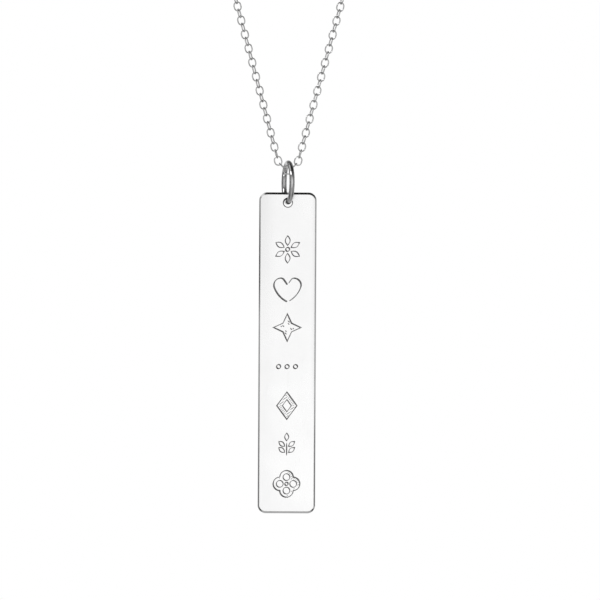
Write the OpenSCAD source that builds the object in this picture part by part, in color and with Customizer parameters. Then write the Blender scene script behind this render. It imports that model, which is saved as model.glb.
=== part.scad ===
// Bar necklace shown as it hangs round a neck: an engraved bar on a ring, on a fine cable chain.
// X is the viewer's right, +Y runs from the chest to the nape, +Z is up.
// The origin is where the necklace hangs: the middle of the clasp, behind the neck.

/* [Bar] */
// Width of the bar
bar_w = 7.15; // [6:0.05:9]
// Height of the bar
bar_h = 40; // [40:1:50]
// Thickness of the bar
bar_t = 1; // [0.8:0.1:1.1]
// Radius of the bar's corners
bar_corner = 1; // [0.5:0.1:1.5]
// Width of the bevel along both faces' edges
bar_bevel = 0.18; // [0.1:0.02:0.3]
// Diameter of the hole for the ring
hole_d = 1.3; // [1.25:0.05:1.4]
// Distance from the bar's top edge to the hole's centre
hole_drop = 1.3; // [1.3:0.1:2]

/* [Engraving] */
// Depth of the engraved lines
cut_depth = 0.12; // [0.05:0.01:0.2]
// Width of the engraved lines
cut_w = 0.18; // [0.12:0.01:0.22]
// Height of one engraved figure
mark_h = 3.4; // [3:0.1:3.8]
// Distance from the bar's top edge to the first figure's centre
mark_start = 7.1; // [6:0.1:8]
// Step from one figure to the next
mark_step = 4.87; // [4.6:0.01:5]

/* [Ring] */
// Diameter of the ring's wire
ring_wire = 0.66; // [0.5:0.02:0.66]
// Diameter of the ring at the middle of its wire
ring_d = 4.9; // [4.8:0.1:6]
// Turn of the ring about the vertical
ring_turn = 12; // [0:1:12]
// Height of the ring's wire above the hole's centre
ring_lift = 0.1; // [0:0.01:0.1]

/* [Chain] */
// Length of the closed necklace along the middle of its chain and clasp
loop_length = 600; // [500:10:800]
// Step from one link to the next
pitch = 0.906; // [0.88:0.002:0.95]
// Diameter of a link's wire
link_wire = 0.2; // [0.18:0.01:0.24]
// Width of a link over its wire
link_w = 1.04; // [1:0.02:1.12]
// Clear gap between a link and what it holds
link_gap = 0.1; // [0.08:0.01:0.12]
// Turn of the links about the chain's own line, reached a few links above the lowest one
chain_roll = 18; // [0:1:18]
// Number of links drawn one by one on each side of the lowest link
links_each_side = 30; // [10:2:40]

/* [Neck] */
// Angle of the chain from the vertical on the chest
chain_lean = 15; // [12:1:18]
// Rise of the first link on each side of the lowest one
first_rise = 45; // [35:1:50]
// Radius of the chain's bend over the shoulder
shoulder_r = 30; // [20:1:40]
// Angle through which the chain turns back over the shoulder
shoulder_turn = 60; // [50:1:70]
// Length of the straight stretch behind the shoulder
shoulder_run = 35; // [20:1:50]

/* [Clasp] */
// Diameter of the clasp's ring at the middle of its wire
clasp_d = 5.2; // [5:0.1:7]
// Diameter of the clasp's wire
clasp_wire = 1; // [0.8:0.1:1.2]
// Diameter of the clasp's eye at the middle of its wire
eye_d = 1.5; // [1.4:0.1:2]
// Diameter of the wire of the eye
eye_wire = 0.4; // [0.3:0.05:0.5]
// Diameter of the wire of the clasp's end ring
end_wire = 0.5; // [0.4:0.05:0.6]

/* [Hidden] */
$fn = 48;
silver = "silver";
tube_sides = 8;
overcut = 1;

// A link is two half rings of wire joined by two short straight wires.
link_l = pitch + 2 * link_wire + link_gap;
link_bend = (link_w - link_wire) / 2;
link_arm = (link_l - link_w) / 2;
// How far a link's wire reaches past the middle of the hook between two links
link_reach = (link_wire + link_gap) / 2;
// Next to the lowest link, where the chain kinks, this many links stand square.
square_links = 2;
// Past them the roll sets in over this many links.
roll_links = 2;

// The clasp's eye is sunk into its ring, and the last link hooks into the eye.
eye_sink = 0.2;
eye_x = (clasp_d + clasp_wire + eye_d + eye_wire) / 2 - eye_sink;
hook_x = eye_x + eye_d / 2 - (eye_wire + link_wire) / 2 - link_gap + link_reach;
// The other side has one link fewer, and its end ring bridges that step.
end_hook_x = hook_x + pitch;
end_inner_x = (clasp_d - clasp_wire - end_wire) / 2 - link_gap;
end_outer_x = end_hook_x - link_reach + (link_wire + end_wire) / 2 + link_gap;
end_d = end_outer_x - end_inner_x;
end_centre_x = (end_outer_x + end_inner_x) / 2;
nape_run = end_hook_x;

// Directions: up the chest, and back over the shoulder.
chest_dir = [sin(chain_lean), 0, cos(chain_lean)];
back_dir = cos(shoulder_turn) * chest_dir + [0, sin(shoulder_turn), 0];
// Inward normal of the bend round the nape, which ends heading straight across
nape_turn = 90 + asin(back_dir.x);
inward = ([-1, 0, 0] - cos(nape_turn) * back_dir) / sin(nape_turn);
nape_axis = cross(back_dir, inward);
clasp_tilt = atan2(back_dir.z, back_dir.y);

// Lengths along the route on one side, from the middle of the lowest link.
first_end = 2 * pitch - link_arm;
first_tip = [link_arm, 0, 0] + (first_end - link_arm) * [cos(first_rise), 0, sin(first_rise)];
side_links = 2 * round(((loop_length / 2 - hook_x) / pitch - 0.5) / 2);
side_length = (side_links + 0.5) * pitch + hook_x;
shoulder_arc = shoulder_r * shoulder_turn * PI / 180;
arc_per_r = nape_turn * PI / 180;
x_per_r = -inward.x;
shoulder_climb = shoulder_r * sin(shoulder_turn) + shoulder_run * cos(shoulder_turn);
shoulder_x = first_tip.x + shoulder_climb * chest_dir.x;
// The straight up the chest is as long as closes the loop.
spare = side_length - first_end - shoulder_arc - shoulder_run - nape_run;
arc_per_x = arc_per_r / x_per_r;
chest_run = (spare - arc_per_x * (shoulder_x - nape_run)) / (1 + arc_per_x * chest_dir.x);
nape_r = (shoulder_x + chest_run * chest_dir.x - nape_run) / x_per_r;
nape_arc = nape_r * arc_per_r;

// Ends of the route's stretches
s_chest = first_end + chest_run;
s_shoulder = s_chest + shoulder_arc;
s_back = s_shoulder + shoulder_run;
s_nape = s_back + nape_arc;

// Corner points of the route, from the lowest link
p_chest = first_tip + chest_run * chest_dir;
p_shoulder = p_chest + arc_step(shoulder_r, shoulder_turn, chest_dir, [0, 1, 0]);
p_back = p_shoulder + shoulder_run * back_dir;
p_nape = p_back + arc_step(nape_r, nape_turn, back_dir, inward);
lowest = [0, -p_nape.y, -p_nape.z];

// The roll that brings the links square to the clasp by the end of the nape's bend
back_normal = shoulder_normal(1);
nape_roll = -atan2(back_normal * inward, cross(back_dir, back_normal) * inward);

// Heights on the pendant, measured from the lowest link's middle
ring_top = (link_w + ring_wire) / 2 + link_gap;
ring_z = ring_top - ring_d / 2;
hole_z = ring_top - ring_d - ring_lift;
bar_top = hole_z + hole_drop;

// The tube stands for the finer links, from the last true link to the clasp.
tube_gap = 0.1;
tube_start = links_each_side * pitch + link_l / 2 + tube_gap;
right_end = side_length - eye_x - (eye_d + eye_wire) / 2 - tube_gap;
left_end = side_length - end_outer_x - end_wire / 2 - tube_gap;
chest_rings = 8;
shoulder_rings = 9;
back_rings = 2;
nape_rings = 17;

function turn_about(v, axis, angle) =
    v * cos(angle) + cross(axis, v) * sin(angle) + axis * (axis * v) * (1 - cos(angle));

function arc_step(r, angle, ahead, inside) = r * (sin(angle) * ahead + (1 - cos(angle)) * inside);

function arc_head(angle, ahead, inside) = cos(angle) * ahead + sin(angle) * inside;

// Point of the route at a length s along the right side
function route_point(s) = lowest + (
    s < link_arm ? [s, 0, 0] :
    s < first_end ? [link_arm, 0, 0] + (s - link_arm) * [cos(first_rise), 0, sin(first_rise)] :
    s < s_chest ? first_tip + (s - first_end) * chest_dir :
    s < s_shoulder ? p_chest
        + arc_step(shoulder_r, shoulder_turn * (s - s_chest) / shoulder_arc, chest_dir, [0, 1, 0]) :
    s < s_back ? p_shoulder + (s - s_shoulder) * back_dir :
    s < s_nape ? p_back + arc_step(nape_r, nape_turn * (s - s_back) / nape_arc, back_dir, inward) :
    p_nape + [s_nape - s, 0, 0]);

// Heading of the route there
function route_head(s) =
    s < link_arm ? [1, 0, 0] :
    s < first_end ? [cos(first_rise), 0, sin(first_rise)] :
    s < s_chest ? chest_dir :
    s < s_shoulder ? arc_head(shoulder_turn * (s - s_chest) / shoulder_arc, chest_dir, [0, 1, 0]) :
    s < s_back ? back_dir :
    s < s_nape ? arc_head(nape_turn * (s - s_back) / nape_arc, back_dir, inward) :
    [-1, 0, 0];

// Normal of a link that faces forwards on the chest, carried along the route without twist until the nape
function route_normal(s) =
    s < s_chest ? [0, 1, 0] :
    s < s_shoulder ? shoulder_normal((s - s_chest) / shoulder_arc) :
    s < s_back ? back_normal :
    nape_normal(min(1, (s - s_back) / nape_arc));

function shoulder_normal(share) = turn_about([0, 1, 0], cross(chest_dir, [0, 1, 0]), shoulder_turn * share);

function nape_normal(share) =
    turn_about(
        turn_about(back_normal, nape_axis, nape_turn * share),
        arc_head(nape_turn * share, back_dir, inward),
        nape_roll * share);

// Rings of the tube: few along the straights, more round the bends
function stations(from, to, count) = [for (i = [1 : count]) from + (to - from) * i / count];

function tube_stations(end) = concat(
    [tube_start],
    stations(tube_start, s_chest, chest_rings),
    stations(s_chest, s_shoulder, shoulder_rings),
    stations(s_shoulder, s_back, back_rings),
    stations(s_back, end, nape_rings));

module torus(d, wire) {
    rotate_extrude() translate([d / 2, 0]) circle(d = wire);
}

// One link lying flat, long side along X
module link() {
    for (half = [0, 180]) rotate([0, 0, half]) {
        translate([link_arm, 0, 0])
            rotate_extrude(angle = 180, start = -90) translate([link_bend, 0]) circle(d = link_wire);
        translate([-link_arm, link_bend, 0]) rotate([0, 90, 0]) cylinder(d = link_wire, h = 2 * link_arm);
    }
}

// Places its children on the route, X ahead and Y along the facing links' normal
module on_route(s) {
    at = route_point(s);
    ahead = route_head(s);
    normal = route_normal(s);
    side = cross(ahead, normal);
    multmatrix([
        [ahead.x, normal.x, side.x, at.x],
        [ahead.y, normal.y, side.y, at.y],
        [ahead.z, normal.z, side.z, at.z],
        [0, 0, 0, 1]])
        children();
}

function link_roll(index) = chain_roll * max(0, min(1, (index - square_links) / roll_links));

// Every second link faces forwards, and the ones between stand nearly edge-on.
module chain_link(index) {
    on_route(index * pitch) rotate([link_roll(index) + (index % 2 == 0 ? 90 : 0), 0, 0]) link();
}

module chain_front() {
    color(silver) {
        chain_link(0);
        for (side = [0, 1]) mirror([side, 0, 0])
            for (index = [1 : links_each_side]) chain_link(index);
    }
}

module chain_tube(end) {
    marks = tube_stations(end);
    count = len(marks);
    rings = [for (s = marks) for (i = [0 : tube_sides - 1])
        route_point(s) + link_w / 2 * (
            cos(i * 360 / tube_sides) * route_normal(s)
            + sin(i * 360 / tube_sides) * cross(route_head(s), route_normal(s)))];
    walls = [for (k = [0 : count - 2]) for (i = [0 : tube_sides - 1])
        let (next = (i + 1) % tube_sides, low = k * tube_sides, high = low + tube_sides)
        [low + i, high + i, high + next, low + next]];
    first_cap = [for (i = [0 : tube_sides - 1]) i];
    last_cap = [for (i = [0 : tube_sides - 1]) count * tube_sides - 1 - i];
    polyhedron(points = rings, faces = concat(walls, [first_cap], [last_cap]));
}

module chain_back() {
    color(silver) {
        chain_tube(right_end);
        mirror([1, 0, 0]) chain_tube(left_end);
    }
}

module jump_ring() {
    color(silver)
        translate(lowest + [0, 0, ring_z]) rotate([0, 0, ring_turn]) rotate([0, 90, 0])
            torus(ring_d, ring_wire);
}

// The clasp lies flat against the slope of the nape.
module on_nape() {
    rotate([clasp_tilt, 0, 0]) children();
}

module clasp() {
    color(silver) on_nape() rotate([90, 0, 0]) {
        torus(clasp_d, clasp_wire);
        translate([eye_x, 0, 0]) torus(eye_d, eye_wire);
    }
}

module clasp_ring() {
    color(silver) on_nape() translate([-end_centre_x, 0, 0]) torus(end_d, end_wire);
}

// Outline of the bar's section from its middle to an edge at the given reach
module edge_profile(reach) {
    half = bar_t / 2;
    polygon([
        [0, -half], [reach - bar_bevel, -half], [reach, bar_bevel - half],
        [reach, half - bar_bevel], [reach - bar_bevel, half], [0, half]]);
}

module bevelled_strip(w, length) {
    linear_extrude(length, center = true) {
        edge_profile(w / 2);
        mirror([1, 0]) edge_profile(w / 2);
    }
}

// The bar without its hole, with its middle at the origin
module bar_blank() {
    bevelled_strip(bar_w, bar_h - 2 * bar_corner);
    rotate([0, 90, 0]) bevelled_strip(bar_h, bar_w - 2 * bar_corner);
    for (x = [-1, 1], z = [-1, 1])
        translate([x * (bar_w / 2 - bar_corner), 0, z * (bar_h / 2 - bar_corner)])
            rotate([90, 0, 0]) rotate_extrude() edge_profile(bar_corner);
}

// A pointed leaf along Y, bounded by two arcs
module leaf(length, width) {
    r = (length * length + width * width) / (4 * width);
    intersection() {
        translate([r - width / 2, 0]) circle(r);
        translate([width / 2 - r, 0]) circle(r);
    }
}

module leaf_line(length, width) {
    difference() {
        leaf(length, width);
        leaf(length - 4 * cut_w, width - 2 * cut_w);
    }
}

// A heart of two round lobes on a square standing on its corner; the lobes reach a little past the corners
module heart(width) {
    side = width / (1 + sqrt(0.5));
    lobe = side / sqrt(8);
    rotate(45) square(side, center = true);
    for (x = [-lobe, lobe]) translate([x, lobe]) circle(side * 0.505);
}

module star(r, waist) {
    polygon([for (i = [0 : 7]) (i % 2 == 0 ? r : waist) * [sin(45 * i), cos(45 * i)]]);
}

module circle_line(r) {
    difference() {
        circle(r);
        circle(r - cut_w);
    }
}

module rosette_mark() {
    petal = mark_h * 0.36;
    for (i = [0 : 5]) rotate(60 * i)
        translate([0, mark_h / 2 - petal / 2]) leaf_line(petal, petal * 0.55);
    circle(cut_w);
}

module heart_mark() {
    difference() {
        heart(mark_h);
        heart(mark_h - 3 * cut_w);
    }
}

module star_mark() {
    difference() {
        star(mark_h / 2, mark_h * 0.16);
        star(mark_h * 0.34, mark_h * 0.11);
    }
}

module dots_mark() {
    for (x = [-1, 0, 1]) translate([x * mark_h * 0.34, 0]) circle_line(mark_h * 0.11);
}

module diamond(height) {
    width = height * 0.7;
    polygon([[0, height / 2], [width / 2, 0], [0, -height / 2], [-width / 2, 0]]);
}

module diamond_mark() {
    difference() {
        diamond(mark_h);
        diamond(mark_h - 3.5 * cut_w);
    }
}

module sprig_mark() {
    long = mark_h * 0.36;
    translate([-cut_w / 2, -mark_h / 2]) square([cut_w, mark_h - long + cut_w]);
    translate([0, (mark_h - long) / 2]) leaf_line(long, long * 0.5);
    for (y = [-0.32, -0.02] * mark_h, side = [0, 1])
        mirror([side, 0]) translate([0, y]) rotate(-55) translate([0, long / 2]) leaf_line(long, long * 0.5);
}

module clover_mark() {
    reach = mark_h * 0.24;
    lobe = mark_h * 0.26;
    difference() {
        for (i = [0 : 3]) rotate(90 * i) translate([reach, 0]) circle(lobe);
        for (i = [0 : 3]) rotate(90 * i) translate([reach, 0]) circle(lobe - cut_w);
    }
    circle(cut_w * 1.3);
}

module mark(index) {
    if (index == 0) rosette_mark();
    if (index == 1) heart_mark();
    if (index == 2) star_mark();
    if (index == 3) dots_mark();
    if (index == 4) diamond_mark();
    if (index == 5) sprig_mark();
    if (index == 6) clover_mark();
}

module bar_plate() {
    color(silver) translate(lowest + [0, 0, bar_top])
        difference() {
            translate([0, 0, -bar_h / 2]) bar_blank();
            translate([0, 0, -hole_drop]) rotate([90, 0, 0])
                cylinder(d = hole_d, h = bar_t + 2 * overcut, center = true);
            for (index = [0 : 6])
                translate([0, cut_depth - bar_t / 2, -mark_start - index * mark_step])
                    rotate([90, 0, 0]) linear_extrude(cut_depth + overcut) mark(index);
        }
}

bar_plate();
jump_ring();
chain_front();
chain_back();
clasp();
clasp_ring();
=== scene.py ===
from math import asin, atan2, cos, pi, radians, sin, sqrt

import bmesh
import bpy
from mathutils import Matrix, Vector


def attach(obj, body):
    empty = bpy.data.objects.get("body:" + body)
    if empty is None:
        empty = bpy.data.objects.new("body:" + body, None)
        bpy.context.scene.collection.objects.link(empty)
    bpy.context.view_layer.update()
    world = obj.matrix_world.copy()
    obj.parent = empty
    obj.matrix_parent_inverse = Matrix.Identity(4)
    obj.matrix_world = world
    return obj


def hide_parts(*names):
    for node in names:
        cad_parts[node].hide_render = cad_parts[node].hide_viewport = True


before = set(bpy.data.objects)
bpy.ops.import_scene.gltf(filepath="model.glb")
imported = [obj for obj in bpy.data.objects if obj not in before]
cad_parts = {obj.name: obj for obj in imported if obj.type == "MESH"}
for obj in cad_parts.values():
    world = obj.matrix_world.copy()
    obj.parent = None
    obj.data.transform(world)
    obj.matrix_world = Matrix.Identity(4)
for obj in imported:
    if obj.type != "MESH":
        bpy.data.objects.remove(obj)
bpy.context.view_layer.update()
print("stage: frame loaded")

mm = 0.001  # shapes are written in millimetres and brought to metres here
tiny = 1e-7  # points that are this near, in metres, count as one
lowestLink = Vector((0, -90.7253, -211.848)) * mm  # middle of the chain's lowest link


# camera, as the photograph was taken: straight on, with the bar and the chain's lower part in view

cameraSetup = {
    "lens": 150,
    "sensor": 36,
    "clipStart": 10,
    "viewWidth": 74.77,  # width that the picture shows at the bar's face
    "aim": (1.57, -91.2253, -228.0),
    "roll": -0.295,  # the bar hangs that far off the picture's upright
}


def makeCamera(setup):
    data = bpy.data.cameras.new("frontCamera")
    data.lens = setup["lens"]
    data.sensor_width = setup["sensor"]
    data.clip_start = setup["clipStart"] * mm
    camera = bpy.data.objects.new("frontCamera", data)
    distance = setup["viewWidth"] * setup["lens"] / setup["sensor"]
    camera.location = (Vector(setup["aim"]) - Vector((0, distance, 0))) * mm
    camera.rotation_euler = (radians(90), radians(setup["roll"]), 0)
    bpy.context.scene.collection.objects.link(camera)
    bpy.context.scene.camera = camera


makeCamera(cameraSetup)
bpy.context.scene.view_settings.view_transform = "Standard"
print("stage: camera")


# helpers that more than one piece uses

def finishPiece(bm, name, materials, body, replaced, smooth=True):
    mesh = bpy.data.meshes.new(name)
    if smooth:
        for face in bm.faces:
            face.smooth = True
    bm.to_mesh(mesh)
    bm.free()
    for material in materials:
        mesh.materials.append(material)
    piece = bpy.data.objects.new(name, mesh)
    bpy.context.scene.collection.objects.link(piece)
    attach(piece, body)
    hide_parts(*replaced)
    print("stage:", name, len(mesh.polygons), "faces")


def grey(level):
    return (level, level, level, 1)


def setSocket(socket, value):
    if isinstance(value, bpy.types.NodeSocket):
        socket.id_data.links.new(value, socket)
    else:
        socket.default_value = value


def nodeMaker(tree):
    # a space in a socket's name is written as a low line, as in Base_Color
    def make(kind, settings=None, **inputs):
        node = tree.nodes.new(kind)
        for key, value in (settings or {}).items():
            setattr(node, key, value)
        for key, value in inputs.items():
            setSocket(node.inputs[key.replace("_", " ")], value)
        return node
    return make


def startNodes(owner):
    owner.use_nodes = True
    owner.node_tree.nodes.clear()
    return nodeMaker(owner.node_tree)


def mathNode(make, operation, *values):
    node = make("ShaderNodeMath", {"operation": operation})
    for socket, value in zip(node.inputs, values):
        setSocket(socket, value)
    return node.outputs[0]


def fadeNode(make, value, ends, least=0.0, most=1.0):
    # eases from least to most while the value passes from one end to the other
    node = make("ShaderNodeMapRange", {"interpolation_type": "SMOOTHSTEP"}, Value=value,
                From_Min=ends[0], From_Max=ends[1], To_Min=least, To_Max=most)
    return node.outputs[0]


def mixColours(make, share, first, second):
    node = make("ShaderNodeMix", {"data_type": "RGBA"}, Factor=share)
    for number, colour in ((6, first), (7, second)):  # the Mix node's two colour sockets
        setSocket(node.inputs[number], colour)
    return node.outputs[2]


def mixShaders(make, share, first, second):
    node = make("ShaderNodeMixShader")
    for socket, value in zip(node.inputs, (share, first.outputs[0], second.outputs[0])):
        setSocket(socket, value)
    return node.outputs[0]


# finishes: silver with what a polishing wheel and wear leave on it

polish = {
    "smudgeDetail": 4.0,
    "smudgeRoughness": 0.6,
    "smudged": (0.35, 0.7),  # part of the noise that turns clean metal into smudged
    "scratchTurn": (0.1, 0.25, 0.0),
    "scratchStretch": (1.0, 1.0, 0.06),  # drawn out into hairs along the bar
    "scratchDetail": 2.0,
    "scratched": (0.62, 0.72),
}
silvers = {  # grey of clean and of smudged metal; sizes and wave height in millimetres
    "plate": {"grey": (0.96, 0.94), "rough": 0.26, "smudgeRough": 0.05, "scratchRough": 0.06,
              "smudgeSize": 6, "scratchSize": 0.16, "waveSize": 14, "waveHeight": 0.05},
    "edge": {"grey": (0.9, 0.84), "rough": 0.05, "smudgeRough": 0.08, "scratchRough": 0.1,
             "smudgeSize": 1.5, "scratchSize": 0.1, "waveSize": 2.0, "waveHeight": 0.0},
    # painted shade: the cuts and the hole get a darker grey that stands in for the shade in these hollows
    "cut": {"grey": (0.5, 0.24), "rough": 0.12, "smudgeRough": 0.08, "scratchRough": 0.1,
            "smudgeSize": 0.5, "scratchSize": 0.1, "waveSize": 1.0, "waveHeight": 0.0},
    # painted shade: the ring's grey is darker than the bar's, standing in for the darker reflections on its
    # wire
    "ring": {"grey": (0.68, 0.5), "rough": 0.07, "smudgeRough": 0.08, "scratchRough": 0.1,
             "smudgeSize": 1.2, "scratchSize": 0.1, "waveSize": 1.2, "waveHeight": 0.03},
    "chain": {"grey": (0.8, 0.54), "rough": 0.1, "smudgeRough": 0.08, "scratchRough": 0.1,
              "smudgeSize": 0.7, "scratchSize": 0.06, "waveSize": 1.0, "waveHeight": 0.0},
    "clasp": {"grey": (0.86, 0.76), "rough": 0.12, "smudgeRough": 0.08, "scratchRough": 0.1,
              "smudgeSize": 1.5, "scratchSize": 0.1, "waveSize": 2.0, "waveHeight": 0.01},
}
# painted shade beside the bar's long edges, standing in for the darker reflection there
edgeShade = {
    "grey": 0.86,
    "left": (-1.0, -3.4),  # sets in and is full, from the bar's middle line
    "leftUp": (-236, -216),  # fades downwards
    "leftLeast": 0.25,
    "right": (2.85, 3.45),
    "rightUp": (-244, -238),
    "rightMost": 0.8,
}


def polishGroup():
    # soft smudges, hair scratches and slow waves, each of its own size
    group = bpy.data.node_groups.new("wheelPolish", "ShaderNodeTree")
    for name in ("Smudge Size", "Scratch Size", "Wave Size"):
        group.interface.new_socket(name, in_out="INPUT", socket_type="NodeSocketFloat")
    for name in ("Smudge", "Scratch", "Wave"):
        group.interface.new_socket(name, in_out="OUTPUT", socket_type="NodeSocketFloat")
    make = nodeMaker(group)
    sizes = make("NodeGroupInput").outputs
    place = make("ShaderNodeTexCoord").outputs["Object"]
    turned = make("ShaderNodeMapping", Vector=place, Rotation=polish["scratchTurn"],
                  Scale=polish["scratchStretch"]).outputs[0]

    def noise(where, size, detail, roughness=0.5):
        return make("ShaderNodeTexNoise", Vector=where, Scale=mathNode(make, "DIVIDE", 1.0, sizes[size]),
                    Detail=detail, Roughness=roughness).outputs[0]

    smudge = noise(place, "Smudge Size", polish["smudgeDetail"], polish["smudgeRoughness"])
    hair = noise(turned, "Scratch Size", polish["scratchDetail"])
    scratch = make("ShaderNodeMapRange", Value=hair, From_Min=polish["scratched"][0],
                   From_Max=polish["scratched"][1])
    wave = noise(place, "Wave Size", 0.0)
    make("NodeGroupOutput", Smudge=smudge, Scratch=scratch.outputs[0], Wave=wave)
    return group


def silverFinish(name, group):
    look = silvers[name]
    material = bpy.data.materials.new(name + "Silver")
    make = startNodes(material)
    marks = make("ShaderNodeGroup", {"node_tree": group}, Smudge_Size=look["smudgeSize"] * mm,
                 Scratch_Size=look["scratchSize"] * mm, Wave_Size=look["waveSize"] * mm).outputs
    smudged = make("ShaderNodeMapRange", Value=marks["Smudge"], From_Min=polish["smudged"][0],
                   From_Max=polish["smudged"][1]).outputs[0]
    colour = mixColours(make, smudged, grey(look["grey"][0]), grey(look["grey"][1]))
    rough = mathNode(make, "MULTIPLY_ADD", smudged, look["smudgeRough"], look["rough"])
    rough = mathNode(make, "MULTIPLY_ADD", marks["Scratch"], look["scratchRough"], rough)
    height = mathNode(make, "MULTIPLY", marks["Wave"], look["waveHeight"] * mm)
    bump = make("ShaderNodeBump", Height=height, Distance=1.0, Strength=1.0)
    shader = make("ShaderNodeBsdfPrincipled", Base_Color=colour, Metallic=1.0, Roughness=rough,
                  Normal=bump.outputs[0])
    make("ShaderNodeOutputMaterial", Surface=shader.outputs[0])
    return material


def paintEdgeShade(material):
    # painted shade: the face is greyer beside its long edges, in a wide band on the left and a narrow one on
    # the right, fading downwards, standing in for the darker reflection there
    make = nodeMaker(material.node_tree)
    base = material.node_tree.nodes["Principled BSDF"].inputs["Base Color"]
    x, _, z = make("ShaderNodeSeparateXYZ", Vector=make("ShaderNodeTexCoord").outputs["Object"]).outputs

    def fade(value, ends, least=0.0, most=1.0):
        return fadeNode(make, value, [end * mm for end in ends], least, most)

    left = mathNode(make, "MULTIPLY", fade(x, edgeShade["left"]),
                    fade(z, edgeShade["leftUp"], least=edgeShade["leftLeast"]))
    right = mathNode(make, "MULTIPLY", fade(x, edgeShade["right"]),
                     fade(z, edgeShade["rightUp"], most=edgeShade["rightMost"]))
    share = mathNode(make, "ADD", left, right)
    setSocket(base, mixColours(make, share, base.links[0].from_socket, grey(edgeShade["grey"])))


wheelPolish = polishGroup()
plateSilver = silverFinish("plate", wheelPolish)
# paints shade on the face beside its long edges
paintEdgeShade(plateSilver)
edgeSilver = silverFinish("edge", wheelPolish)
# darker grey that paints shade in the cuts and the hole
shadedCutSilver = silverFinish("cut", wheelPolish)
ringSilver = silverFinish("ring", wheelPolish)
chainSilver = silverFinish("chain", wheelPolish)
claspSilver = silverFinish("clasp", wheelPolish)
print("stage: finishes")


# the route that the chain takes, from its lowest link up the right side to the clasp

chain = {
    "pitch": 0.906,
    "wire": 0.16,  # finer than the CAD's, on the same places
    "width": 1.04,
    "gap": 0.03,
    "kinks": (45, 30),  # turns of the route where the first links leave the lowest one
    "kinkArm": 0.183,  # from the middle of the lowest link to the first kink
    "roll": 18,  # turn of the links about the chain's line, once past the kinks
    "rollFrom": 2,
    "rollLinks": 2,
    "chestRun": 148.562,
    "shoulderR": 30,
    "shoulderTurn": 60,
    "shoulderRun": 35,
    "napeR": 46.041,
    "napeRoll": -13.0643,
    "endRun": 100,  # more than the last links need
    "frontLinks": 30,  # on each side of the lowest link
    "lastLinks": (326, 325),  # last link on the right and on the left
    "frontDetail": (12, 10),  # sides of a link's wire and steps round each of its ends
    "backDetail": (6, 5),
}
linkLength = chain["pitch"] + 2 * chain["wire"] + chain["gap"]
linkBend = (chain["width"] - chain["wire"]) / 2
linkArm = (linkLength - chain["width"]) / 2


def routeStretches():
    lean = radians(90 - sum(chain["kinks"]))
    turn = radians(chain["shoulderTurn"])
    chest = Vector((sin(lean), 0, cos(lean)))
    back = cos(turn) * chest + Vector((0, sin(turn), 0))
    napeTurn = pi / 2 + asin(back.x)
    inward = (Vector((-1, 0, 0)) - cos(napeTurn) * back) / sin(napeTurn)
    side = chest.cross(Vector((0, 1, 0)))
    facing = back.cross(side) * -1
    shoulder = {"length": chain["shoulderR"] * turn, "r": chain["shoulderR"], "turn": turn,
                "inside": Vector((0, 1, 0)), "roll": 0}
    nape = {"length": chain["napeR"] * napeTurn, "r": chain["napeR"], "turn": napeTurn,
            "inside": Vector((0, inward.dot(facing), inward.dot(side))), "roll": radians(chain["napeRoll"])}
    return [
        {"length": chain["kinkArm"], "kink": 0},
        {"length": 2 * chain["pitch"] - 2 * chain["kinkArm"], "kink": chain["kinks"][0]},
        {"length": chain["chestRun"], "kink": chain["kinks"][1]},
        shoulder,
        {"length": chain["shoulderRun"], "kink": 0},
        nape,
        {"length": chain["endRun"], "kink": 0},
    ]


stretches = routeStretches()
shoulderNumber = 3  # the shoulder's place in the list
shoulderStart = sum(stretch["length"] for stretch in stretches[:shoulderNumber])


def routeFrame(s):
    # X ahead along the chain, Y square to the links that face forwards; in millimetres
    place = Matrix.Identity(4)
    for stretch in stretches:
        run = min(s, stretch["length"])
        if "r" in stretch:
            share = run / stretch["length"]
            offset = stretch["inside"] * stretch["r"]
            axis = Vector((1, 0, 0)).cross(stretch["inside"])
            place = place @ Matrix.Translation(offset) @ Matrix.Rotation(stretch["turn"] * share, 4, axis)
            place = place @ Matrix.Translation(-offset) @ Matrix.Rotation(stretch["roll"] * share, 4, "X")
        else:
            place = place @ Matrix.Rotation(-radians(stretch["kink"]), 4, "Y")
            place = place @ Matrix.Translation((run, 0, 0))
        s -= run
        if s <= 0:
            break
    return place


def linkRoll(index):
    # sets in above the kinks and fades away over the shoulder
    rolled = max(0, min(1, (index - chain["rollFrom"]) / chain["rollLinks"]))
    gone = (index * chain["pitch"] - shoulderStart) / stretches[shoulderNumber]["length"]
    return radians(chain["roll"]) * rolled * max(0, min(1, 1 - gone))


def linkMesh(sides, steps):
    # one wire link lying flat, its long side along X
    bm = bmesh.new()
    start = Matrix.Translation((linkArm, -linkBend, 0)) @ Matrix.Rotation(pi / 2, 4, "Y")
    first = bmesh.ops.create_circle(bm, radius=chain["wire"] / 2, segments=sides, matrix=start)
    firstEdges = list(bm.edges)

    def turnEnd(geom, x):
        made = bmesh.ops.spin(bm, geom=geom, cent=(x, 0, 0), axis=(0, 0, 1), angle=pi, steps=steps)
        return [g for g in made["geom_last"] if isinstance(g, bmesh.types.BMEdge)]

    bentEdges = turnEnd(first["verts"] + firstEdges, linkArm)
    drawn = bmesh.ops.extrude_edge_only(bm, edges=bentEdges)["geom"]
    drawnVerts = [g for g in drawn if isinstance(g, bmesh.types.BMVert)]
    drawnEdges = [e for e in bm.edges if e.verts[0] in drawnVerts and e.verts[1] in drawnVerts]
    bmesh.ops.translate(bm, verts=drawnVerts, vec=(-2 * linkArm, 0, 0))
    lastEdges = turnEnd(drawnVerts + drawnEdges, -linkArm)
    bmesh.ops.bridge_loops(bm, edges=lastEdges + firstEdges)
    bmesh.ops.recalc_face_normals(bm, faces=bm.faces)
    mesh = bpy.data.meshes.new("oneLink")
    bm.to_mesh(mesh)
    bm.free()
    return mesh


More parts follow.
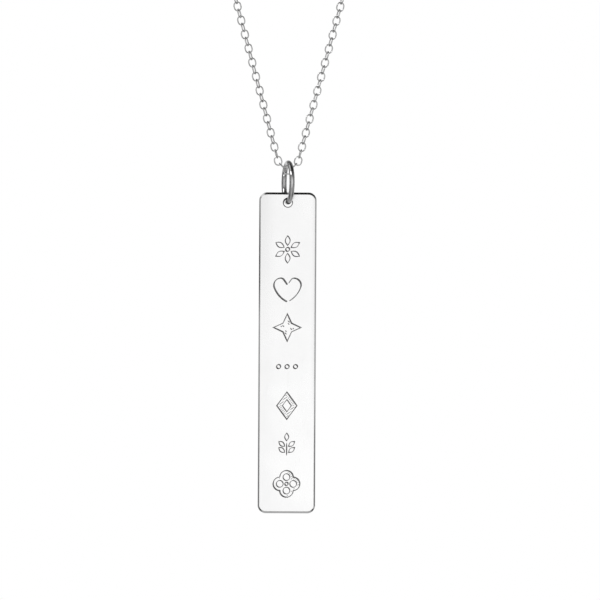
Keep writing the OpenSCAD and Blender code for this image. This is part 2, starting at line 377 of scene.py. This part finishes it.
def addLinks(bm, mesh, indices, mirrored):
    flip = Matrix.Scale(-1, 4, (1, 0, 0))
    toMetres = Matrix.Translation(lowestLink) @ Matrix.Scale(mm, 4)
    for index in indices:
        square = pi / 2 if index % 2 == 0 else 0
        place = routeFrame(index * chain["pitch"]) @ Matrix.Rotation(square + linkRoll(index), 4, "X")
        if mirrored:
            place = flip @ place @ flip  # a link is its own mirror image
        before = len(bm.verts)
        bm.from_mesh(mesh)
        bm.verts.ensure_lookup_table()
        bmesh.ops.transform(bm, matrix=toMetres @ place, verts=bm.verts[before:])


def chainPiece(detail, right, left, name, replaced):
    bm = bmesh.new()
    mesh = linkMesh(*detail)
    addLinks(bm, mesh, right, mirrored=False)
    addLinks(bm, mesh, left, mirrored=True)
    bpy.data.meshes.remove(mesh)
    finishPiece(bm, name, [chainSilver], "chain", [replaced])


def makeChain():
    front = chain["frontLinks"]
    lastRight, lastLeft = chain["lastLinks"]
    chainPiece(chain["frontDetail"], range(front + 1), range(1, front + 1), "chainFront", "chain_front")
    chainPiece(chain["backDetail"], range(front + 1, lastRight + 1), range(front + 1, lastLeft + 1),
               "chainBack", "chain_back")


makeChain()


# jump ring and clasp

rings = {
    "jumpD": 4.9,
    "jumpWire": 0.66,
    "jumpTurn": 12,
    "jumpZ": -1.5,  # ring's middle below the lowest link's middle
    "claspD": 5.2,
    "claspWire": 1.0,
    "eyeX": 3.85,
    "eyeD": 1.5,
    "eyeWire": 0.4,
    "endX": -3.653,
    "endD": 3.806,
    "endWire": 0.5,
    "tilt": 29.1474,  # slope of the nape that the clasp lies on
    "steps": 96,  # round a ring
    "sides": 24,  # round its wire
}


def addRing(bm, diameter, wire, place):
    section = Matrix.Translation((diameter / 2, 0, 0)) @ Matrix.Rotation(pi / 2, 4, "X")
    made = bmesh.ops.create_circle(bm, radius=wire / 2, segments=rings["sides"], matrix=section)
    edges = list({edge for vert in made["verts"] for edge in vert.link_edges})
    before = set(bm.verts) - set(made["verts"])
    bmesh.ops.spin(bm, geom=made["verts"] + edges, cent=(0, 0, 0), axis=(0, 0, 1),
                   angle=2 * pi, steps=rings["steps"], use_merge=True)
    verts = [vert for vert in bm.verts if vert not in before]
    bmesh.ops.transform(bm, matrix=place, verts=verts)


def ringPiece(parts, name, material, body, replaced):
    bm = bmesh.new()
    for diameter, wire, place in parts:
        addRing(bm, diameter, wire, place)
    bmesh.ops.recalc_face_normals(bm, faces=bm.faces)
    finishPiece(bm, name, [material], body, [replaced])


def makeRings():
    scale = Matrix.Scale(mm, 4)
    upright = Matrix.Rotation(pi / 2, 4, "Y")
    jump = (Matrix.Translation(lowestLink) @ scale @ Matrix.Translation((0, 0, rings["jumpZ"]))
            @ Matrix.Rotation(radians(rings["jumpTurn"]), 4, "Z") @ upright)
    ringPiece([(rings["jumpD"], rings["jumpWire"], jump)], "jumpRing", ringSilver,
              "ring", "jump_ring")
    nape = scale @ Matrix.Rotation(radians(rings["tilt"]), 4, "X")
    flat = nape @ Matrix.Rotation(pi / 2, 4, "X")
    eye = flat @ Matrix.Translation((rings["eyeX"], 0, 0))
    ringPiece([(rings["claspD"], rings["claspWire"], flat), (rings["eyeD"], rings["eyeWire"], eye)],
              "ringClasp", claspSilver, "chain", "clasp")
    end = nape @ Matrix.Translation((rings["endX"], 0, 0))
    ringPiece([(rings["endD"], rings["endWire"], end)], "claspEndRing", claspSilver,
              "chain", "clasp_ring")


makeRings()


# the bar, with its ornaments cut by a graver: each cut is a V with a sunk middle line

plate = {
    "width": 7.15,
    "height": 40.0,
    "thickness": 1.0,
    "corner": 1.0,
    "cornerSteps": 14,
    "bevel": 0.27,  # across the top and bottom
    "bevelSide": 0.19,
    "bevelDepth": 0.2,
    "top": -2.75,  # bar's top edge below the lowest link's middle
    "holeD": 1.02,
    "holeDrop": 1.28,
    "holeRim": 0.12,
    "holeRimDepth": 0.22,
    "holeSteps": 48,
    "sharpEdge": 30,  # edges that turn more than this stay sharp in the shading
}
cuts = {
    "first": 7.1,  # from the bar's top edge to the first figure's middle
    "step": 4.87,
    "line": 0.18,
    "fine": 0.15,
    "hair": 0.12,
    "depth": 0.062,  # in the middle of a cut that is as wide as line
    "press": 0.3,  # share that a cut gains or loses in width with its direction
    "pressWay": 40,  # way across the widest cuts, from the bar's right
    "swell": 6,  # the lower, the sooner an open cut reaches its full width
    "mitreLeast": 0.45,  # keeps the rails of a sharp corner from running far out
    "hatchStep": 0.22,
    "hatchClear": 0.06,
    "hatchLeast": 0.12,  # a shorter hatch isn't cut
    "hatchProbe": 0.02,  # step that finds a hatch's ends
}


# lines that the ornaments are drawn with, across and up from an ornament's middle

def polar(r, degrees):
    return Vector((r * sin(radians(degrees)), r * cos(radians(degrees))))


def circleLine(r, x=0.0, z=0.0, count=40):
    return [Vector((x + r * sin(2 * pi * i / count), z + r * cos(2 * pi * i / count))) for i in range(count)]


def cornerLine(corners, parts=3):
    # a closed line through the corners
    line = []
    for a, b in zip(corners, corners[1:] + corners[:1]):
        line += [a.lerp(b, i / parts) for i in range(parts)]
    return line


def leafLine(base, angle, length, width, count=14):
    along = Vector((sin(angle), cos(angle)))
    across = Vector((along.y, -along.x)) * width / 2
    steps = [0] + [i / count for i in range(2, count - 1)]  # room for the corner at either tip
    up = [base + along * length * t + across * sin(pi * t) for t in steps]
    down = [base + along * length * (1 - t) - across * sin(pi * t) for t in steps]
    return up + down


def lobedLine(r, reach, lobes=4, count=14):
    # round lobes that meet in inward corners
    half = pi / lobes
    meet = reach * cos(half) + sqrt(r * r - (reach * sin(half)) ** 2)
    spread = atan2(meet * sin(half), meet * cos(half) - reach)
    line = []
    for k in range(lobes):
        turn = 2 * half * k
        for i in range(count):
            a = -spread + 2 * spread * i / count
            x, z = reach + r * cos(a), r * sin(a)
            line.append(Vector((x * cos(turn) - z * sin(turn), x * sin(turn) + z * cos(turn))))
    return line


def straightCut(a, b, width, parts):
    return ([a.lerp(b, i / parts) for i in range(parts + 1)], False, width)


def isInside(p, line):
    inside = False
    for a, b in zip(line, line[1:] + line[:1]):
        if (a.y > p.y) != (b.y > p.y) and p.x < a.x + (p.y - a.y) * (b.x - a.x) / (b.y - a.y):
            inside = not inside
    return inside


def distanceTo(p, line):
    away = []
    for a, b in zip(line, line[1:] + line[:1]):
        along = b - a
        t = max(0, min(1, (p - a).dot(along) / along.length_squared))
        away.append((p - a - along * t).length)
    return min(away)


def hatchCuts(line, slope, keep):
    # parallel hair cuts that fill an outline where keep allows, each clear of the outline's own cut
    ahead = Vector((cos(radians(slope)), sin(radians(slope))))
    across = Vector((-ahead.y, ahead.x))
    middle = sum(line, Vector((0, 0))) / len(line)
    reach = max((p - middle).length for p in line)
    clear = cuts["line"] / 2 + cuts["hatchClear"] / 2
    rows, steps = int(reach / cuts["hatchStep"]) + 1, int(reach / cuts["hatchProbe"]) + 1
    found = []
    for row in range(-rows, rows + 1):
        run = []
        for i in range(-steps, steps + 1):
            p = middle + across * cuts["hatchStep"] * row + ahead * cuts["hatchProbe"] * i
            if isInside(p, line) and distanceTo(p, line) > clear and keep(p):
                run.append(p)
            else:
                if run and (run[-1] - run[0]).length > cuts["hatchLeast"]:
                    found.append(straightCut(run[0], run[-1], cuts["hair"], parts=4))
                run = []
    return found


# the ornaments, each a list of cuts: line, whether it is closed, width

rosette = {"eyeR": 0.24, "leaves": 6, "leafFrom": 0.5, "leafLength": 1.2, "leafWidth": 0.6}


def rosetteCuts():
    found = [(circleLine(rosette["eyeR"]), True, cuts["fine"])]
    for k in range(rosette["leaves"]):
        way = 360 / rosette["leaves"] * k
        line = leafLine(polar(rosette["leafFrom"], way), radians(way), rosette["leafLength"],
                        rosette["leafWidth"])
        found.append((line, True, cuts["hair"]))
    return found


heart = {
    "tip": -1.67,
    "heading": 25,  # slope at the tip
    "arcs": [(3.17, 45), (0.87, 110), (0.45, 55)],  # radius and turn of each arc
    "spacing": 0.06,
    "gap": 4,  # points that the right cut stays short of the left one
}


def heartSide(side):
    # one half, from the tip up along three arcs, each bent more than the last, then down to the cleft
    line = [Vector((0, heart["tip"]))]
    heading = radians(heart["heading"])
    for radius, sweep in heart["arcs"]:
        start, first = line[-1], heading
        heading += radians(sweep)
        count = round(radius * radians(sweep) / heart["spacing"])
        for i in range(1, count + 1):
            now = first + (heading - first) * i / count
            line.append(start + radius * Vector((sin(now) - sin(first), cos(first) - cos(now))))
    last = line[-1]
    cleft = Vector((0, last.y - last.x / cos(heading) * sin(heading)))
    count = round((cleft - last).length / heart["spacing"])
    line += [last.lerp(cleft, i / count) for i in range(1, count + 1)]
    return [Vector((p.x * side, p.y)) for p in line]


def heartCuts():
    left, right = heartSide(-1), heartSide(1)
    return [(left, False, cuts["line"]), (right[heart["gap"]:-heart["gap"]], False, cuts["line"])]


star = {"out": 1.7, "in": 0.76, "slope": -45, "offSpine": 0.05, "offEdge": 0.16}


def starCuts():
    # four points, with an inward corner between each two
    line = cornerLine([polar(star["out"] if k % 2 == 0 else star["in"], 45 * k) for k in range(8)])

    def oneSide(p):
        # the same side of each of the star's points is in shade
        angle = atan2(p.x, p.y) % (pi / 2)
        off = min(p.length * sin(angle), p.length * sin(abs(pi / 4 - angle)))
        return angle < pi / 4 and off > star["offSpine"] and distanceTo(p, line) > star["offEdge"]

    return [(line, True, cuts["fine"])] + hatchCuts(line, star["slope"], oneSide)


dots = {"r": 0.25, "x": (-1.05, 0, 1.05)}


def dotCuts():
    return [(circleLine(dots["r"], x), True, cuts["fine"]) for x in dots["x"]]


diamond = {"halfWidth": 1.25, "halfHeight": 1.7, "inner": 0.45, "slope": 35, "offInner": 0.13}


def diamondCuts():
    x, z = diamond["halfWidth"], diamond["halfHeight"]
    corners = [Vector(corner) for corner in ((0, z), (x, 0), (0, -z), (-x, 0))]
    outer = cornerLine(corners)
    inner = cornerLine([corner * diamond["inner"] for corner in corners])

    def inBand(p):
        return not isInside(p, inner) and distanceTo(p, inner) > diamond["offInner"]

    lines = [(outer, True, cuts["fine"]), (inner, True, cuts["hair"])]
    return lines + hatchCuts(outer, diamond["slope"], inBand)


sprig = {
    "stem": (-1.4, 0.3),
    "topLeaf": 0.5,
    "pairs": (-0.95, -0.2),  # height of each pair of leaves
    "leafX": 0.25,
    "leafTurn": 50,
    "leafLength": 0.95,
    "leafWidth": 0.5,
}


def sprigCuts():
    low, high = (Vector((0, z)) for z in sprig["stem"])
    found = [straightCut(low, high, cuts["fine"], parts=8)]
    leaves = [(0, sprig["topLeaf"], 0)]
    for z in sprig["pairs"]:
        leaves += [(sprig["leafX"] * side, z, sprig["leafTurn"] * side) for side in (1, -1)]
    for x, z, turn in leaves:
        line = leafLine(Vector((x, z)), radians(turn), sprig["leafLength"], sprig["leafWidth"])
        found.append((line, True, cuts["hair"]))
    return found


clover = {
    "lobeR": 0.84,
    "reach": 0.82,
    "eyeR": 0.2,
    "ringR": 0.42,
    "ringReach": 0.84,
    "slope": 45,
    "offRing": 0.13,
    "offSide": -0.1,  # shade starts this far from the line through a lobe's middle
    "offMiddle": 0.34,
}


def cloverCuts():
    outer = lobedLine(clover["lobeR"], clover["reach"])
    lobes = [polar(clover["ringReach"], 90 * k) for k in range(4)]

    def shaded(p):
        lobe = min(lobes, key=lambda middle: (p - middle).length)
        offRing = (p - lobe).length > clover["ringR"] + clover["offRing"]
        return offRing and p.x > lobe.x + clover["offSide"] and p.length > clover["offMiddle"]

    found = [(outer, True, cuts["fine"]), (circleLine(clover["eyeR"]), True, cuts["fine"])]
    found += [(circleLine(clover["ringR"], *lobe), True, cuts["hair"]) for lobe in lobes]
    return found + hatchCuts(outer, clover["slope"], shaded)


figures = [rosetteCuts, heartCuts, starCuts, dotCuts, diamondCuts, sprigCuts, cloverCuts]  # from the top


def strokeNormals(line, closed):
    # the way out from each point of the line, long enough to mitre the corners
    normals = []
    last = len(line) - 1
    for i in range(len(line)):
        before = line[i] - line[i - 1] if closed or i > 0 else line[1] - line[0]
        after = line[(i + 1) % len(line)] - line[i] if closed or i < last else line[last] - line[last - 1]
        a = Vector((before.y, -before.x)).normalized()
        b = Vector((after.y, -after.x)).normalized()
        both = (a + b).normalized()
        normals.append(both / max(cuts["mitreLeast"], both.dot(b)))
    return normals


def strokeSwell(line, closed):
    # share of the full width at each point: an open cut sets in and runs out
    if closed:
        return [1.0] * len(line)
    last = len(line) - 1
    return [min(1, sin(pi * i / last) * len(line) / cuts["swell"]) ** 0.5 for i in range(len(line))]


def cutStroke(bm, line, closed, width, place):
    # the graver's middle line is drawn out to both rails, then sunk
    middle = [bm.verts.new(place(p)) for p in line]
    edges = [bm.edges.new(pair) for pair in zip(middle, middle[1:])]
    if closed:
        edges.append(bm.edges.new((middle[-1], middle[0])))
    normals, swell = strokeNormals(line, closed), strokeSwell(line, closed)
    number = {vert: i for i, vert in enumerate(middle)}
    rails = []
    for side in (1, -1):
        drawn = bmesh.ops.extrude_edge_only(bm, edges=edges)["geom"]
        for vert in (g for g in drawn if isinstance(g, bmesh.types.BMVert)):
            i = next(number[e.other_vert(vert)] for e in vert.link_edges if e.other_vert(vert) in number)
            way = atan2(normals[i].y, normals[i].x) - radians(cuts["pressWay"])
            press = 1 + cuts["press"] * cos(2 * way)  # a slanted hand cuts one way wider
            vert.co = place(line[i] + normals[i] * side * width / 2 * swell[i] * press)
            rails.append(vert)
    for face in {face for vert in middle for face in vert.link_faces}:
        face.material_index = 1
    for i, vert in enumerate(middle):
        vert.co += Vector((0, cuts["depth"] * swell[i] * width / cuts["line"], 0)) * mm
    if not closed:
        bmesh.ops.remove_doubles(bm, verts=middle + rails, dist=tiny)


def bevelPlate(bm, edges, offset, steps):
    bmesh.ops.bevel(bm, geom=edges, offset=offset * mm, segments=steps, profile=0.5,
                    affect="EDGES", material=-1)


def plateBlank(bm):
    # drawn out while the rims are bevelled, so that the bevels come out narrower at the sides
    # and lean to the faces
    across = plate["bevel"] / plate["bevelSide"]
    through = plate["bevel"] / plate["bevelDepth"]
    size = Matrix.Diagonal((plate["width"], plate["thickness"], plate["height"], 1))
    bmesh.ops.create_cube(bm, size=mm, matrix=size)

    def depth(edge):
        return abs(edge.verts[0].co.y - edge.verts[1].co.y)

    corners = [e for e in bm.edges if depth(e) > plate["thickness"] / 2 * mm]
    bevelPlate(bm, corners, plate["corner"], plate["cornerSteps"])
    bmesh.ops.scale(bm, verts=bm.verts, vec=(across, through, 1))
    bevelPlate(bm, [e for e in bm.edges if depth(e) < tiny], plate["bevel"], 1)
    bmesh.ops.scale(bm, verts=bm.verts, vec=(1 / across, 1 / through, 1))
    flats = [f for f in bm.faces if abs(f.normal.y) > 0.99]  # the two that face forwards and back
    bmesh.ops.delete(bm, geom=flats, context="FACES_ONLY")
    bmesh.ops.translate(bm, verts=bm.verts, vec=(0, 0, -plate["height"] / 2 * mm))


def plateHole(bm):
    half, rim, sunk = plate["thickness"] / 2 * mm, plate["holeRim"] * mm, plate["holeRimDepth"] * mm
    r = plate["holeD"] / 2 * mm
    middle = Vector((0, 0, -plate["holeDrop"] * mm))
    start = Matrix.Translation(middle + Vector((0, -half, 0))) @ Matrix.Rotation(pi / 2, 4, "X")
    made = bmesh.ops.create_circle(bm, radius=r + rim, segments=plate["holeSteps"], matrix=start)
    edges = list({edge for vert in made["verts"] for edge in vert.link_edges})
    for rise, radius in ((sunk, r), (2 * half - 2 * sunk, r), (sunk, r + rim)):
        drawn = bmesh.ops.extrude_edge_only(bm, edges=edges)["geom"]
        verts = [g for g in drawn if isinstance(g, bmesh.types.BMVert)]
        edges = [e for e in bm.edges if e.verts[0] in verts and e.verts[1] in verts]
        for vert in verts:
            out = Vector((vert.co.x, 0, vert.co.z - middle.z)).normalized()
            vert.co = middle + out * radius + Vector((0, vert.co.y + rise, 0))


def fillFlat(bm, y):
    # the flat is filled between its rim, the hole and the cuts' rails
    rim = [e for e in bm.edges if e.is_boundary and all(abs(v.co.y - y) < tiny for v in e.verts)]
    made = bmesh.ops.triangle_fill(bm, use_beauty=True, edges=rim, normal=(0, 1 if y > 0 else -1, 0))
    for face in (g for g in made["geom"] if isinstance(g, bmesh.types.BMFace)):
        face.material_index = 0
        face.smooth = False


def makePlate():
    # numbers of the faces' materials: 0 flat, 1 cuts and hole, whose darker grey is painted shade, 2 rim
    bm = bmesh.new()
    plateBlank(bm)
    rimFaces = set(bm.faces)
    plateHole(bm)
    for face in bm.faces:
        face.smooth = True
        face.material_index = 2 if face in rimFaces else 1
    half = plate["thickness"] / 2 * mm
    for number, figure in enumerate(figures):
        middle = -cuts["first"] - cuts["step"] * number

        def place(p, middle=middle):
            return Vector((p.x * mm, -half, (p.y + middle) * mm))

        for line, closed, width in figure():
            cutStroke(bm, line, closed, width, place)
    fillFlat(bm, -half)
    fillFlat(bm, half)
    bmesh.ops.recalc_face_normals(bm, faces=bm.faces)
    for edge in bm.edges:
        gentle = edge.calc_face_angle(0) < radians(plate["sharpEdge"])
        edge.smooth = gentle and all(face.smooth for face in edge.link_faces)
    bmesh.ops.translate(bm, verts=bm.verts, vec=lowestLink + Vector((0, 0, plate["top"] * mm)))
    openEdges = [e for e in bm.edges if not e.is_manifold]
    print("stage: bar cut, open edges:", len(openEdges))
    finishPiece(bm, "namePlate", [plateSilver, shadedCutSilver, edgeSilver], "bar",
                ["bar_plate"], smooth=False)


makePlate()


# studio: pale floor, white surround and soft light

studio = {
    "floorZ": -310,
    "floorMiddle": (0, -90),
    "floorR": 350,
    "floorFade": 180,  # full up to here, gone at floorR
    "floorGrey": 0.88,
    "floorSides": 96,
    "front": 1.03,
    "behind": 0.8,
    "between": 0.34,
    "betweenUp": -0.25,
    "round": [  # light round the bar's edge, clockwise from straight up, as shares of a turn
        (0.0, 0.01), (0.07, 0.01), (0.125, 0.02), (0.18, 0.2), (0.2437, 0.42), (0.2473, 0.28),
        (0.25, 0.4), (0.2575, 0.46), (0.262, 0.2), (0.265, 0.2), (0.31, 0.5), (0.375, 0.05), (0.43, 0.4),
        (0.5, 0.46), (0.57, 0.4), (0.625, 0.04), (0.69, 0.2), (0.7365, 0.2), (0.7425, 0.3), (0.7475, 0.36),
        (0.7515, 0.46), (0.7528, 0.01), (0.7575, 0.01), (0.7585, 0.4), (0.82, 0.3),
        (0.875, 0.76), (0.92, 0.7), (0.96, 0.08), (1.0, 0.01)],
    "frontToBehind": (-0.1, 0.1),  # where the boxes meet, by how much a way points back
    "roundToBetween": (0.3, 0.5),  # where the panels end, by how much a way points back or forwards
    "betweenToBox": (0.78, 0.94),
    "fallUp": -1.5,  # how fast the light in front falls off upwards
    "fallAcross": 2.5,
    "fallMost": 0.12,
    "keyPlace": (-450, -550, 350),
    "keyPower": 1.2,
    "fillPlace": (500, -620, 50),
    "fillPower": 0.6,
    "lampSize": 300,
    "lampAim": (0, -80, -200),
}


def makeSurround():
    # for the metal, a soft tent: bright boxes in front and behind, panels of light and dark round the sides
    world = bpy.data.worlds.new("lightTent")
    make = startNodes(world)
    way = make("ShaderNodeTexCoord").outputs["Generated"]
    x, y, z = make("ShaderNodeSeparateXYZ", Vector=way).outputs
    turn = mathNode(make, "FRACT", mathNode(make, "DIVIDE", mathNode(make, "ARCTAN2", x, z), 2 * pi))
    panels = make("ShaderNodeValToRGB", Fac=turn)
    stops = panels.color_ramp.elements
    for position, level in studio["round"][1:-1]:
        stops.new(position).color = grey(level)
    stops[0].color = grey(studio["round"][0][1])
    stops[-1].color = grey(studio["round"][-1][1])
    fall = mathNode(make, "MULTIPLY", z, studio["fallUp"])
    fall = mathNode(make, "MULTIPLY_ADD", x, studio["fallAcross"], fall)
    fall = mathNode(make, "MINIMUM", fall, studio["fallMost"])
    fall = mathNode(make, "MAXIMUM", fall, -studio["fallMost"])
    box = mathNode(make, "ADD", fall, studio["front"])
    box = fadeNode(make, y, studio["frontToBehind"], box, studio["behind"])
    between = mathNode(make, "MULTIPLY_ADD", z, studio["betweenUp"], studio["between"])
    depth = mathNode(make, "ABSOLUTE", y)
    level = fadeNode(make, depth, studio["roundToBetween"], panels.outputs[0], between)
    level = fadeNode(make, depth, studio["betweenToBox"], level, box)
    tent = make("ShaderNodeBackground", Color=grey(1), Strength=level)
    white = make("ShaderNodeBackground", Color=grey(1), Strength=1.0)
    seenInMetal = make("ShaderNodeLightPath").outputs["Is Glossy Ray"]
    make("ShaderNodeOutputWorld", Surface=mixShaders(make, seenInMetal, white, tent))
    bpy.context.scene.world = world


def floorPaint(middle):
    # the pale floor fades into the white surround
    material = bpy.data.materials.new("paleFloor")
    make = startNodes(material)
    away = make("ShaderNodeVectorMath", {"operation": "DISTANCE"})
    setSocket(away.inputs[0], make("ShaderNodeTexCoord").outputs["Object"])
    setSocket(away.inputs[1], middle)
    fade = fadeNode(make, away.outputs["Value"], (studio["floorFade"] * mm, studio["floorR"] * mm))
    paint = make("ShaderNodeBsdfDiffuse", Color=grey(studio["floorGrey"]))
    clear = make("ShaderNodeBsdfTransparent")
    make("ShaderNodeOutputMaterial", Surface=mixShaders(make, fade, paint, clear))
    return material


def makeFloor():
    middle = Vector((*studio["floorMiddle"], studio["floorZ"])) * mm
    bm = bmesh.new()
    bmesh.ops.create_circle(bm, cap_ends=True, radius=studio["floorR"] * mm, segments=studio["floorSides"],
                            matrix=Matrix.Translation(middle))
    mesh = bpy.data.meshes.new("floor")
    bm.to_mesh(mesh)
    bm.free()
    mesh.materials.append(floorPaint(middle))
    floor = bpy.data.objects.new("floor", mesh)
    bpy.context.scene.collection.objects.link(floor)
    floor.visible_glossy = False  # the metal shows the tent's panels below it


def softLight(name, place, power, glints):
    place, aim = Vector(place) * mm, Vector(studio["lampAim"]) * mm
    data = bpy.data.lights.new(name, "AREA")
    data.shape = "DISK"
    data.size = studio["lampSize"] * mm
    data.energy = power
    lamp = bpy.data.objects.new(name, data)
    lamp.location = place
    lamp.rotation_euler = (aim - place).to_track_quat("-Z", "Y").to_euler()
    lamp.visible_camera = False
    lamp.visible_glossy = glints
    bpy.context.scene.collection.objects.link(lamp)


makeSurround()
makeFloor()
softLight("keyLight", studio["keyPlace"], studio["keyPower"], glints=True)
softLight("fillLight", studio["fillPlace"], studio["fillPower"], glints=False)
print("stage: studio")
